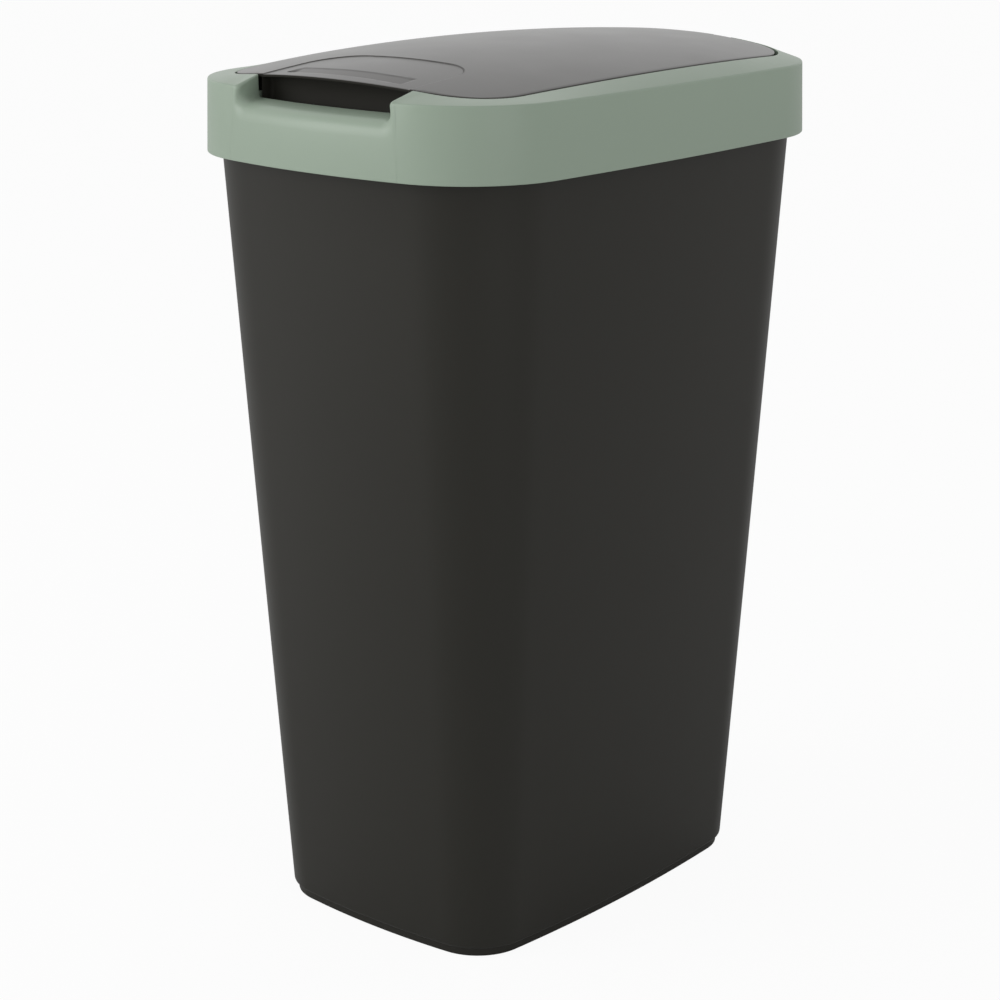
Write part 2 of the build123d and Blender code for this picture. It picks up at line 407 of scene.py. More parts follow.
def front_columns(shape, inset):
    """The places across the front, closer together where the notch's walls will be."""
    _, radius, start, _ = arcs(shape, inset)[6]
    tip = -radius * cos(start)
    marks = [-tip, -zone_outer, -zone_inner, zone_inner, zone_outer, tip]
    columns = []
    for zone, number in enumerate(notch_zone):
        columns += [mix(marks[zone], marks[zone + 1], step / number) for step in range(number)]
    return columns, tip


def wall_profile(share, wall_x, hollow, over, rise):
    """Across the notch's wall: how far out a point stands and what share of the rise it has."""
    hollow, over = min(hollow, rise * most_hollow), min(over, rise * most_over)
    if share < hollow_end:
        turn = share / hollow_end * pi / 2
        return wall_x - hollow * (1 - sin(turn)), hollow * (1 - cos(turn)) / rise
    if share < wall_end:
        part = (share - hollow_end) / (wall_end - hollow_end)
        return wall_x + part * wall_lean, mix(hollow, rise - over, part) / rise
    turn = (share - wall_end) / (1 - wall_end) * pi / 2
    return wall_x + wall_lean + over * (1 - cos(turn)), (rise - over + over * sin(turn)) / rise


def gathered(x, tip, wall_x, hollow, over, rise):
    """Moves a column onto the notch's wall. Gives its new place and 0 on the floor to 1 on the deck."""
    side = -1 if x < 0 else 1
    far = abs(x)
    foot = wall_profile(0, wall_x, hollow, over, rise)[0]
    top = wall_profile(1, wall_x, hollow, over, rise)[0]
    if far <= zone_inner:
        return x * foot / zone_inner, 0.0
    if far >= zone_outer:
        return side * mix(top, tip, (far - zone_outer) / (tip - zone_outer)), 1.0
    place, share = wall_profile((far - zone_inner) / (zone_outer - zone_inner), wall_x, hollow, over, rise)
    return side * place, share


def spread(x, tip):
    """A column's place in a row below the notch, clear of the wall above it, so that none cross."""
    side = -1 if x < 0 else 1
    far = abs(x)
    share = (far - zone_inner) / (zone_outer - zone_inner)
    if share <= 0:
        return x * (spread_wall - front_hollow) / zone_inner
    if share < hollow_end:
        return side * (spread_wall - front_hollow * (1 - sin(share / hollow_end * pi / 2)))
    if share < 1:
        return side * (spread_wall + (share - hollow_end) / (1 - hollow_end) * spread_over)
    return side * mix(spread_wall + spread_over, tip, (far - zone_outer) / (tip - zone_outer))


def rear_slide(y, shape):
    """The opening is longer at the rear, so that the lid's edge can swing."""
    return relief * min(1.0, max(0.0, y / (shape["deep"] - shape["corner"])))


# %% The collar's cross-section, row by row
def plain(height):
    return lambda x, y: height


def under_crown(drop):
    return lambda x, y: crown(x, y) - drop


collar_rows = []


def collar_row(shape, inset, height, rounding, notch=None, slides=False):
    """Notes one row. Its notch is given as inset, height, wall, hollow and round over."""
    collar_rows.append((shape, inset, height, rounding, notch, slides))


under = 2.4 * MM
crease_round = 1.2 * MM
below_crease = crease_height - crease_round
rim_drop = 3.2 * MM
ledge_inset = 9 * MM
ledge_wall = 2 * MM
throat_base = 543 * MM
throat_wall = 2 * MM
notch_half = 67 * MM
notch_floor = 574.3 * MM
notch_under = 571.2 * MM
notch_front_half = 65 * MM
notch_front_floor = 571.5 * MM
notch_front_under = 566 * MM
notch_front_wall = 5 * MM


def ledge_notch(step):
    """The notch in the ledge's rows, each a little lower and wider than the row before."""
    return 0.0, (570.5 - 4 * step) * MM, (68.4 + 0.4 * step) * MM, 0.8 * MM, 0.5 * MM


collar_row(collar_band, 0.0, plain(collar_base), 0.8 * MM)
collar_row(
    collar_band, band_inset(crease_height), plain(crease_height), crease_round,
    notch=(band_inset(notch_front_floor), notch_front_floor, notch_front_half, front_hollow, 2.5 * MM),
)
collar_row(
    lid_opening, 0.0, under_crown(0.0), 0.6 * MM,
    notch=(0.0, notch_floor, notch_half, 1.6 * MM, 1.0 * MM), slides=True,
)
ledge_corners = (
    (0.0, ledge_height, 0.0, True),
    (ledge_inset, ledge_height, 0.4 * MM, False),
    (ledge_inset, ledge_height - ledge_wall, 0.4 * MM, False),
    (0.0, ledge_height - ledge_wall, 0.0, False),
)
for step, (inset, height, rounding, slides) in enumerate(ledge_corners):
    collar_row(lid_opening, inset, plain(height), rounding, notch=ledge_notch(step), slides=slides)
collar_row(lid_opening, 0.0, plain(throat_base), 0.5 * MM)
collar_row(lid_opening, -throat_wall, plain(throat_base), 0.5 * MM)
collar_row(
    lid_opening, -throat_wall, under_crown(rim_drop), 0.0,
    notch=(-throat_wall, notch_under, notch_half + under, 1.6 * MM, 1.0 * MM),
)
collar_row(
    collar_band, band_inset(crease_height) + under, plain(below_crease), 0.8 * MM,
    notch=(
        band_inset(crease_height) + notch_front_wall, notch_front_under, notch_half + under,
        6.5 * MM, 2 * MM,
    ),
)
collar_row(collar_band, under, plain(collar_base), 0.5 * MM)
print("rows round the collar's wall:", len(collar_rows))


def collar_places(shape, inset, height, notch, slides):
    """The places of one row's points, with the notch formed in its front."""
    points = outline_points(shape, inset, collar_counts)
    places = []
    for point in points[:front_start]:
        y = point.y + (rear_slide(point.y, shape) if slides else 0.0)
        places.append(Vector((point.x, y, height(point.x, y))))
    columns, tip = front_columns(shape, inset)
    for column in columns:
        x, share, low_inset, low = spread(column, tip), 1.0, inset, 0.0
        if notch:
            low_inset, low, wall_x, hollow, over = notch
            rise = height(wall_x, -shape["deep"]) - low
            x, share = gathered(column, tip, wall_x, hollow, over, rise)
        bow = shape["end"] - mix(low_inset, inset, share)
        y = shape["end"] - shape["deep"] - sqrt(bow**2 - x**2)
        places.append(Vector((x, y, mix(low, height(x, y), share))))
    for point in points[front_start + collar_counts[3]:]:
        places.append(at(point, height(point.x, point.y)))
    return places


# %% [markdown]
# The collar's edges are rounded by rows of their own. A Bevel modifier would do on a plain
# band, but here the columns of points stand so close at the notch's walls that a bevel runs
# into itself. So the row of each edge gives way to a few rows along a curve, which starts a
# little before the edge and ends a little after it.

# %% Round the collar's edges
most_way = 0.45
round_steps = 3
crease_steps = 7
notch_scoop = 561 * MM
scoop_wider = 5 * MM


def towards(point, other, distance):
    """The place that far along the way to another point, but always short of the middle."""
    way = other - point
    return point + way * min(distance / way.length, most_way)


def beside(row, number, distance, shape):
    """The place beside a row's point, in the upright surface that the row edges."""
    point = row[number]
    along = (row[(number + 1) % len(row)] - row[number - 1]).normalized()
    outwards = along.cross(Vector((0, 0, 1)))
    if front_start < number < front_start + collar_counts[3]:
        outwards = Vector((point.x, point.y - shape["end"] + shape["deep"], 0))
    return point + along.cross(outwards.normalized()) * distance


def rounded(rows, corners, crease_start):
    """The rows again, with each corner that has a width spread over a few rows as a small round.

    The crease starts from a row of its own, and the rim ends in the upright wall under it.
    """
    made = []
    for number, (row, (shape, width, kind)) in enumerate(zip(rows, corners)):
        if not width:
            made.append(row)
            continue
        after = rows[(number + 1) % len(rows)]
        steps = round_steps
        first = [towards(point, other, width) for point, other in zip(row, rows[number - 1])]
        last = [towards(point, other, width) for point, other in zip(row, after)]
        if kind == "crease":
            steps, first = crease_steps, crease_start
            reaches = [(point - start).length for point, start in zip(row, first)]
            last = [towards(point, other, reach) for point, other, reach in zip(row, after, reaches)]
        if kind == "rim":
            last = [beside(row, column, width, shape) for column in range(len(row))]
        made.append(first)
        for share in (step / steps for step in range(1, steps)):
            parts = (1 - share) ** 2, 2 * share * (1 - share), share**2
            made.append([a * parts[0] + b * parts[1] + c * parts[2] for a, b, c in zip(first, row, last)])
        made.append(last)
    return made


# %% Build the collar
scoop = (band_inset(notch_scoop), notch_scoop, notch_front_half + scoop_wider, front_hollow, crease_round)
crease_start = collar_places(collar_band, band_inset(below_crease), plain(below_crease), scoop, False)
round_kinds = {1: "crease", 2: "rim"}
collar_corners = [(row[0], row[3], round_kinds.get(number)) for number, row in enumerate(collar_rows)]
sharp_rows = [
    collar_places(shape, inset, height, notch, slides)
    for shape, inset, height, _, notch, slides in collar_rows
]
collar = stack("collar_skin", rounded(sharp_rows, collar_corners, crease_start))
face_outwards(collar)
bpy.ops.object.mode_set(mode="OBJECT")
print("faces of the collar's wall:", len(collar.data.polygons))

# %% [markdown]
# The lid's knuckles reach out through two slots in the rear deck. Under the deck a block
# stands round each slot and carries its pin, and thin ribs stand on the bucket's rim. They
# are out of sight until the collar comes off, but they are what holds the bin together.


# %% Blocks, ribs and slots
def block(name, low, high):
    """A cube sized and placed by its lowest and highest corners."""
    bpy.ops.object.select_all(action="DESELECT")
    low, high = Vector(low), Vector(high)
    bpy.ops.mesh.primitive_cube_add(size=1, location=(low + high) / 2, scale=high - low)
    made = bpy.context.object
    made.name = name
    bpy.ops.object.transform_apply(location=True, rotation=True, scale=True)
    return made


def combine(piece, other, operation):
    """Adds another form to a piece, or takes it out of the piece, and deletes that form."""
    bpy.ops.object.select_all(action="DESELECT")
    bpy.context.view_layer.objects.active = piece
    piece.select_set(True)
    boolean = piece.modifiers.new("combine", "BOOLEAN")
    boolean.operation = operation
    boolean.solver = "EXACT"
    boolean.object = other
    bpy.ops.object.modifier_apply(modifier=boolean.name)
    bpy.data.objects.remove(other)


def join(piece, others):
    """Makes several meshes one piece."""
    bpy.ops.object.select_all(action="DESELECT")
    for other in others:
        other.select_set(True)
    piece.select_set(True)
    bpy.context.view_layer.objects.active = piece
    bpy.ops.object.join()


def bowed(reach, radius, off):
    """How far out a bowed side stands at a distance off its middle."""
    return reach - (radius - sqrt(radius**2 - off**2))


hinge_y = half_depth - 12.5 * MM
hinge_z = 584.2 * MM
hinge_places = (-45 * MM, 45 * MM)
knuckle = 4 * MM
slot_half = 8.5 * MM
slot_front = 100 * MM
slot_rear = 192.7 * MM
slot_play = 1.5 * MM
lug_outer = slot_half + 4 * MM
lug_low = 574.2 * MM
lug_rear = 195.2 * MM
deck_inner = 180.4 * MM
deck_outer = half_depth - 4 * MM
above_deck = 590 * MM
above_all = 620 * MM
lug_overlap = 0.6 * MM


def slot_cutter(x):
    """A block from inside the lid's opening back to the end of the knuckle's slot."""
    low = (x - slot_half, slot_front, hinge_z - knuckle - slot_play)
    return block("slot", low, (x + slot_half, slot_rear, above_all))


def deck_under(x, y):
    """The underside of the deck, between the rim's wall and the band."""
    longer = relief if y > 0 else 0.0
    inner = bowed(lid_opening["deep"] + throat_wall + longer, lid_opening["end"], x)
    outer = bowed(deck_outer, collar_band["end"], x)
    share = (abs(y) - inner) / (outer - inner)
    return mix(crown(x, inner if y > 0 else -inner) - rim_drop, below_crease, share)


def lean_top(made, height_at):
    """Moves a block's upper points to the underside that they meet."""
    middle = sum(vertex.co.z for vertex in made.data.vertices) / len(made.data.vertices)
    for vertex in made.data.vertices:
        if vertex.co.z > middle:
            vertex.co.z = height_at(vertex.co.x, vertex.co.y)


supports = []
for number, x in enumerate(hinge_places):
    low, high = (x - lug_outer, deck_inner, lug_low), (x + lug_outer, lug_rear, above_deck)
    lug = block(f"hinge_block_{number}", low, high)
    lean_top(lug, lambda x, y: deck_under(x, y) + lug_overlap)
    combine(lug, slot_cutter(x), "DIFFERENCE")
    supports.append(lug)
for x in hinge_places:
    combine(collar, slot_cutter(x), "DIFFERENCE")

# %% The ribs
rib_half = 1.1 * MM
rib_low = rim_height + 0.3 * MM
rib_overlap = 0.3 * MM
end_rib_places = (-77.5 * MM, 0.0, 77.5 * MM)
end_rib_outer = 198.6 * MM
rear_set_back = 1.2 * MM
side_rib_places = (-89.4 * MM, 0.0, 89.4 * MM)
side_rib_inner = 128.6 * MM
side_rib_outer = 142.2 * MM
for x in end_rib_places:
    inner = bowed(deck_inner, lid_opening["end"], x)
    outer = bowed(end_rib_outer, collar_band["end"], x)
    for side in (1, -1):
        if side < 0 and x == 0.0:
            continue
        low_y, high_y = sorted((side * inner + (rear_set_back if side > 0 else 0.0), side * outer))
        rib = block("rib", (x - rib_half, low_y, rib_low), (x + rib_half, high_y, above_deck))
        lean_top(rib, lambda x, y: deck_under(x, y) + rib_overlap)
        supports.append(rib)
for y in side_rib_places:
    inner = bowed(side_rib_inner, lid_opening["side"], y)
    outer = bowed(side_rib_outer, collar_band["side"], y)
    by_rim = crown(inner, y) - 3 * MM
    for side in (1, -1):
        low_x, high_x = sorted((side * inner, side * outer))
        rib = block("rib", (low_x, y - rib_half, rib_low), (high_x, y + rib_half, above_deck))
        lean_top(rib, lambda x, _: by_rim if abs(x) < (inner + outer) / 2 else below_crease)
        supports.append(rib)
join(collar, supports)
smooth(collar)
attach(collar, "collar")
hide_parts("collar_frame")
print("collar faces:", len(collar.data.polygons))

# %% [markdown]
# ## The lid
# The lid is a thin crowned plate. Its front has a shallow arched recess, and in it a trough
# for the thumb. Grid Fill covers the outline with even quads. They are subdivided round the
# recess, and once more on its line and in the trough, and each point then takes its height
# from the dome, less the recess and the trough. The same grid a plate's thickness lower is
# the underside, and a band of quads joins the two round the edge.


# %% The lid's top, as a height over each point
lid_gap = 1.5 * MM
plate = 2.6 * MM
recess_half = 64 * MM
recess_back = -104.8 * MM
recess_corner = 28 * MM
recess_step = 0.6 * MM
recess_slope = 0.35 * MM
thumb_y = -158.8 * MM
thumb_half = 51 * MM
thumb_end = 4 * MM
thumb_reach = 8 * MM
thumb_depth = 1.5 * MM
lip_rear = 168 * MM
lip_front = 177 * MM
lip_thinner = 0.5 * MM


def ramp(value, low, high):
    """0 below low, 1 above high, and a smooth rise between."""
    share = min(1.0, max(0.0, (value - low) / (high - low)))
    return share * share * (3 - 2 * share)


def beyond_recess(x, y):
    """How far a point lies outside the arched recess, less than 0 inside it."""
    out_x = abs(x) - (recess_half - recess_corner)
    out_y = y - (recess_back - recess_corner)
    return sqrt(max(out_x, 0.0) ** 2 + max(out_y, 0.0) ** 2) + min(max(out_x, out_y), 0.0) - recess_corner


def recess_share(x, y):
    """1 inside the arched recess and 0 outside it."""
    return 1 - ramp(beyond_recess(x, y), -recess_slope, recess_slope)


def thumb_share(x, y):
    """How deep the thumb trough is: a soft drop at its front and a rise to a sharp line at its back."""
    along = (y - thumb_y + thumb_reach) / (2 * thumb_reach)
    if not 0 < along < 1:
        return 0.0
    rise = mix(1.0, 0.25, min(1.0, max(0.0, (along - 0.25) / 0.7)))
    depth = ramp(along, 0.0, 0.3) * rise * (1 - ramp(along, 0.95, 1.0))
    return depth * (1 - ramp(abs(x), thumb_half - thumb_end, thumb_half))


def lid_top(x, y):
    return crown(x, y) - recess_step * recess_share(x, y) - thumb_depth * thumb_share(x, y)


def lid_under(x, y):
    """The underside, which thins the plate towards the lip over the finger pocket."""
    lip = ramp(-y, lip_rear, lip_front)
    return crown(x, y) - plate + lip_thinner * lip - thumb_depth * thumb_share(x, y)


# %% Cover the outline with a grid and give it its heights
lid_counts = (120, 12, 88, 88)
sheet_height = 600 * MM
fine_half = 70 * MM
fine_rear = -98 * MM
line_margin = 2 * MM
trough_margin = 1 * MM


def select_round_recess(faces):
    """Selects the front of the lid, with the recess in it."""
    for face in faces:
        middle = face.calc_center_median()
        face.select = abs(middle.x) < fine_half and middle.y < fine_rear


def select_recess_line(faces):
    """Selects the faces on the recess line and in the trough."""
    for face in faces:
        x, y = face.calc_center_median()[:2]
        on_line = abs(beyond_recess(x, y)) < line_margin
        across = abs(x) < thumb_half + trough_margin
        face.select = on_line or (across and abs(y - thumb_y) < thumb_reach + trough_margin)


def lid_grid(name, height):
    """A filled sheet over the lid's outline, with more points where the shape changes quickly."""
    edge = [at(point, sheet_height) for point in outline_points(lid_opening, lid_gap, lid_counts)]
    sheet = stack(name, [edge], closed=False)
    select_rows(sheet, (0,), len(edge))
    bpy.ops.mesh.select_mode(type="VERT")
    made = bmesh.from_edit_mesh(sheet.data)
    made.verts.ensure_lookup_table()
    made.select_history.clear()
    made.select_history.add(made.verts[lid_counts[0] + lid_counts[1] // 2])
    bpy.ops.mesh.fill_grid(span=lid_counts[2] + lid_counts[1], offset=0)
    bpy.ops.mesh.select_mode(type="FACE")
    for select, cuts in ((select_round_recess, 1), (select_recess_line, 2)):
        select(bmesh.from_edit_mesh(sheet.data).faces)
        bmesh.update_edit_mesh(sheet.data)
        bpy.ops.mesh.subdivide(number_cuts=cuts)
    bpy.ops.object.mode_set(mode="OBJECT")
    for vertex in sheet.data.vertices:
        vertex.co.z = height(vertex.co.x, vertex.co.y)
    return sheet


# %% Join the two sheets into a plate
lid = lid_grid("lid_skin", lid_top)
lid_below = lid_grid("lid_below", lid_under)
join(lid, [lid_below])
bpy.ops.object.mode_set(mode="EDIT")
bpy.ops.mesh.select_mode(type="EDGE")
bpy.ops.mesh.select_all(action="DESELECT")
bpy.ops.mesh.select_non_manifold(extend=False)
bpy.ops.mesh.bridge_edge_loops()
made = bmesh.from_edit_mesh(lid.data)
layer = made.edges.layers.float.new("bevel_weight_edge")
for edge in made.edges:
    tilts = sorted(abs(face.normal.z) for face in edge.link_faces)
    if tilts[0] < 0.3 and tilts[1] > 0.5:  # the rim: an upright face meets one that lies flat
        edge[layer] = 1.0
bmesh.update_edit_mesh(lid.data)
face_outwards(lid)
round_weighted(lid, 0.3 * MM, segments=2)
print("lid plate faces:", len(lid.data.polygons))

# %% [markdown]
# Under the plate a skirt stands on the collar's ledge. At the front it is cut away for a
# finger pocket. The pocket's thin wall is a stack of its own outline, and at mid height it
# is hollowed a little to give the fingertips a grip. At the rear two arms carry the
# knuckles that turn on the pins.

# %% The skirt and the finger pocket
skirt_low = ledge_height + 0.3 * MM
skirt_outer = 5.5 * MM
skirt_inner = 7.5 * MM
skirt_drop = 1 * MM
skirt_counts = (40, 16, 30, 60)
skirt_corners = (
    (skirt_outer, None), (skirt_outer, skirt_drop), (skirt_inner, skirt_drop), (skirt_inner, None)
)
skirt_places = []
for inset, drop in skirt_corners:
    points = outline_points(lid_opening, inset, skirt_counts)
    skirt_places.append([at(p, skirt_low if drop is None else crown(p.x, p.y) - drop) for p in points])
skirt = stack("lid_skirt", skirt_places)
skirt_round = weigh_rows(skirt, [0.4 * MM, 0.0, 0.0, 0.4 * MM], row_length(skirt_counts))
face_outwards(skirt)
round_weighted(skirt, skirt_round, segments=2)
front_gap = 65 * MM
grip_back = -165.3 * MM
gap_cutter = block("front_gap", (-front_gap, -200 * MM, 500 * MM), (front_gap, grip_back, above_all))
combine(skirt, gap_cutter, "DIFFERENCE")

grip_low = 571 * MM
grip_half = 64.4 * MM
grip_wall = 2 * MM
grip_corner = 2.5 * MM
grip_front = -172.1 * MM
grip_hollow = 0.8 * MM
grip_splay = 1.6 * MM
grip_taper = 2.6 * MM
grip_drop = 1.3 * MM
grip_corner_steps = 6
pocket_rows = 13


def pocket_outline(hollow):
    """The pocket's wall from above: along the inside from left to right, and back outside."""
    inner = [Vector((-grip_half - grip_splay, grip_front))]
    outer = [Vector((-grip_half - grip_wall, grip_front + grip_taper))]
    middle = Vector((-grip_half + grip_corner, grip_back - grip_corner))
    for step in range(grip_corner_steps + 1):
        share = step / grip_corner_steps
        angle = pi - share * pi / 2
        turned = Vector((cos(angle), sin(angle)))
        inner.append(middle + turned * grip_corner + Vector((0, hollow * share)))
        outer.append(middle + turned * (grip_corner + grip_wall) + Vector((0, grip_hollow * share)))
    mirrored = [Vector((-point.x, point.y)) for point in reversed(inner)]
    mirrored_outer = [Vector((-point.x, point.y)) for point in outer]
    return inner + mirrored + mirrored_outer + list(reversed(outer))


pocket_places = []
for row in range(pocket_rows):
    share = row / (pocket_rows - 1)
    points = pocket_outline(grip_hollow * sin(pi * share))
    pocket_places.append([at(p, mix(grip_low, crown(p.x, p.y) - grip_drop, share)) for p in points])
grip = stack("finger_pocket", pocket_places, closed=False)
for row in (0, pocket_rows - 1):
    select_rows(grip, (row,), len(pocket_places[0]))
    bpy.ops.mesh.edge_face_add()
face_outwards(grip)
bpy.ops.object.mode_set(mode="OBJECT")
print("skirt and pocket faces:", len(skirt.data.polygons), len(grip.data.polygons))

# %% The arms and knuckles
knuckle_length = 16 * MM
bore_radius = 2.08 * MM
bore_length = 20 * MM
arm_front = 172.2 * MM


def rod(radius, length, x):
    """A round bar across the bin, on the line of the hinge."""
    bpy.ops.object.select_all(action="DESELECT")
    bpy.ops.mesh.primitive_cylinder_add(
        vertices=48, radius=radius, depth=length, location=(x, hinge_y, hinge_z), rotation=(0, pi / 2, 0)
    )
    bpy.ops.object.transform_apply(location=True, rotation=True, scale=True)
    return bpy.context.object


arms = []
for x in hinge_places:
    barrel = rod(knuckle, knuckle_length, x)
    low = (x - knuckle_length / 2, arm_front, hinge_z - knuckle)
    high = (x + knuckle_length / 2, hinge_y, hinge_z + knuckle)
    combine(barrel, block("arm", low, high), "UNION")
    combine(barrel, rod(bore_radius, bore_length, x), "DIFFERENCE")
    soft = barrel.modifiers.new("soft edges", "BEVEL")
    soft.width = 0.3 * MM
    soft.segments = 2
    soft.limit_method = "ANGLE"
    soft.angle_limit = radians(40)
    bpy.ops.object.modifier_apply(modifier=soft.name)
    arms.append(barrel)
join(lid, [skirt, grip] + arms)
smooth(lid)
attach(lid, "lid")
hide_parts("lid_shell")
print("lid faces:", len(lid.data.polygons))

# %% [markdown]
# ## Moulded plastic
# All three mouldings are polypropylene, straight out of a tool. The tool leaves a fine
# grain, the colour drifts a little over a large wall, handling polishes some places, and
# edges wear paler. One node group makes these four effects from Object coordinates, and
# each material sets them for its own moulding. The finger pocket, and the lid's lip over
# it, get a matt texture and a darker, less glossy colour that is painted shade for the
# recess. The shader itself stays in the material.


# %% A node group for moulded plastic
group = bpy.data.node_groups.new("moulded skin", "ShaderNodeTree")
group_inputs = (
    ("Colour", "NodeSocketColor", (0.1, 0.1, 0.1, 1)),
    ("Worn Colour", "NodeSocketColor", (0.2, 0.2, 0.2, 1)),
    ("Drift", "NodeSocketFloat", 0.05),
    ("Grain Scale", "NodeSocketFloat", 900.0),
    ("Polish", "NodeSocketFloat", 0.06),
    ("Roughness", "NodeSocketFloat", 0.4),
    ("Edge Width", "NodeSocketFloat", 0.0012),
    ("Wear", "NodeSocketFloat", 0.3),
)
group_outputs = (
    ("Colour", "NodeSocketColor"), ("Roughness", "NodeSocketFloat"), ("Height", "NodeSocketFloat")
)
for label, kind, usual in group_inputs:
    group.interface.new_socket(name=label, in_out="INPUT", socket_type=kind).default_value = usual
for label, kind in group_outputs:
    group.interface.new_socket(name=label, in_out="OUTPUT", socket_type=kind)
nodes, links = group.nodes, group.links
given = nodes.new("NodeGroupInput")
out = nodes.new("NodeGroupOutput")
coordinates = nodes.new("ShaderNodeTexCoord")
print("settings of the moulded skin:", [label for label, _, _ in group_inputs])


# %% Its colour drift and its worn edges
def noise(detail, scale=None):
    """A noise texture over Object coordinates."""
    made = nodes.new("ShaderNodeTexNoise")
    made.inputs["Detail"].default_value = detail
    if scale is not None:
        made.inputs["Scale"].default_value = scale
    links.new(coordinates.outputs["Object"], made.inputs["Vector"])
    return made


def maths(operation, first, second):
    """A Math node. The first value is another node's output, the second an output or a number."""
    made = nodes.new("ShaderNodeMath")
    made.operation = operation
    links.new(first, made.inputs[0])
    if isinstance(second, float):
        made.inputs[1].default_value = second
    else:
        links.new(second, made.inputs[1])
    return made.outputs[0]


cloud = noise(3.0, 7.0)
drifted = maths("MULTIPLY", maths("SUBTRACT", cloud.outputs["Fac"], 0.5), given.outputs["Drift"])
tone = nodes.new("ShaderNodeHueSaturation")
links.new(given.outputs["Colour"], tone.inputs["Color"])
links.new(maths("ADD", drifted, 1.0), tone.inputs["Value"])

wear_starts = 0.985
wear_is_full = 0.80
softened = nodes.new("ShaderNodeBevel")
softened.samples = 6
links.new(given.outputs["Edge Width"], softened.inputs["Radius"])
facing = nodes.new("ShaderNodeNewGeometry")
agree = nodes.new("ShaderNodeVectorMath")
agree.operation = "DOT_PRODUCT"
links.new(softened.outputs["Normal"], agree.inputs[0])
links.new(facing.outputs["Normal"], agree.inputs[1])
at_edge = nodes.new("ShaderNodeMapRange")
at_edge.inputs["From Min"].default_value = wear_starts
at_edge.inputs["From Max"].default_value = wear_is_full
links.new(agree.outputs["Value"], at_edge.inputs["Value"])
patches = noise(4.0, 60.0)
worn = maths("MULTIPLY", at_edge.outputs["Result"], patches.outputs["Fac"])
blend = nodes.new("ShaderNodeMix")
blend.data_type = "RGBA"
links.new(maths("MULTIPLY", worn, given.outputs["Wear"]), blend.inputs["Factor"])
links.new(tone.outputs["Color"], blend.inputs["A"])
links.new(given.outputs["Worn Colour"], blend.inputs["B"])
links.new(blend.outputs["Result"], out.inputs["Colour"])

# %% Its gloss and its grain
smear = noise(5.0, 22.0)
polished = maths("MULTIPLY", maths("SUBTRACT", smear.outputs["Fac"], 0.5), given.outputs["Polish"])
links.new(maths("ADD", polished, given.outputs["Roughness"]), out.inputs["Roughness"])
grain = noise(2.0)
links.new(given.outputs["Grain Scale"], grain.inputs["Scale"])
links.new(grain.outputs["Fac"], out.inputs["Height"])
print("nodes in the moulded skin:", len(nodes))


# %% One material for each moulding
def moulded(name, colour, worn_colour, settings, grain_height, specular):
    """A Principled material whose colour, roughness and bump come from the moulded skin."""
    material = bpy.data.materials.new(name)
    material.use_nodes = True
    tree = material.node_tree
    shader = tree.nodes["Principled BSDF"]
    skin = tree.nodes.new("ShaderNodeGroup")
    skin.node_tree = group
    skin.inputs["Colour"].default_value = (*colour, 1)
    skin.inputs["Worn Colour"].default_value = (*worn_colour, 1)
    for label, setting in settings.items():
        skin.inputs[label].default_value = setting
    bump = tree.nodes.new("ShaderNodeBump")
    bump.inputs["Strength"].default_value = 0.35
    bump.inputs["Distance"].default_value = grain_height
    shader.inputs["Specular IOR Level"].default_value = specular
    tree.links.new(skin.outputs["Colour"], shader.inputs["Base Color"])
    tree.links.new(skin.outputs["Roughness"], shader.inputs["Roughness"])
    tree.links.new(skin.outputs["Height"], bump.inputs["Height"])
    tree.links.new(bump.outputs["Normal"], shader.inputs["Normal"])
    return material


graphite = moulded(
    "bucket graphite", (0.0170, 0.0162, 0.0125), (0.056, 0.053, 0.045),
    {"Drift": 0.10, "Grain Scale": 1100.0, "Polish": 0.05, "Roughness": 0.46, "Wear": 0.30},
    0.00008, 0.26,
)
sage = moulded(
    "collar sage", (0.302, 0.375, 0.298), (0.48, 0.55, 0.47),
    {"Drift": 0.05, "Grain Scale": 1100.0, "Polish": 0.05, "Roughness": 0.38, "Wear": 0.35},
    0.00006, 0.4,
)
lid_graphite = moulded(
    "lid graphite", (0.024, 0.0215, 0.0175), (0.065, 0.061, 0.054),
    {"Drift": 0.08, "Grain Scale": 1400.0, "Polish": 0.05, "Roughness": 0.30, "Wear": 0.30},
    0.00004, 0.5,
)
pin_black = moulded(
    "pin black", (0.028, 0.027, 0.025), (0.07, 0.07, 0.06),
    {"Drift": 0.05, "Grain Scale": 1600.0, "Polish": 0.08, "Roughness": 0.45, "Wear": 0.4},
    0.00003, 0.5,
)
# The pocket's material: matt, and darker and less glossy than the lid, as painted shade in the deep finger
# pocket.
pocket_painted_shade = moulded(
    "pocket painted shade", (0.0170, 0.0162, 0.0128), (0.050, 0.048, 0.042),
    {"Drift": 0.08, "Grain Scale": 700.0, "Polish": 0.04, "Roughness": 0.62, "Wear": 0.15},
    0.00010, 0.12,
)
for piece, material in ((bucket, graphite), (collar, sage), (lid, lid_graphite)):
    piece.data.materials.clear()
    piece.data.materials.append(material)
lid.data.materials.append(pocket_painted_shade)
# Every face under the lid's top skin in front of the pocket's rear takes the painted shade: the pocket's
# wall, the skirt's front ends and the lip over them.
painted_shade_faces = 0
plate_skin = 0.7 * MM
pocket_rear = grip_back + 3 * MM
for face in lid.data.polygons:
    middle = face.center
    below_plate = middle.z < crown(middle.x, middle.y) - plate_skin
    if below_plate and middle.y < pocket_rear:
        face.material_index = 1
        painted_shade_faces += 1
print("faces in the pocket's matt texture:", painted_shade_faces)
for name in ("hinge_pin_left", "hinge_pin_right"):
    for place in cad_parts[name].material_slots:
        place.material = pin_black
    print(name, "wears", pin_black.name)

# %% [markdown]
# ## The studio
# The photograph is a catalogue picture on pure white. The camera sees the floor and the
# world white, and reflections see the world white too. Two large soft lamps model the form:
# a broad one at the left front and a much weaker one at the right.


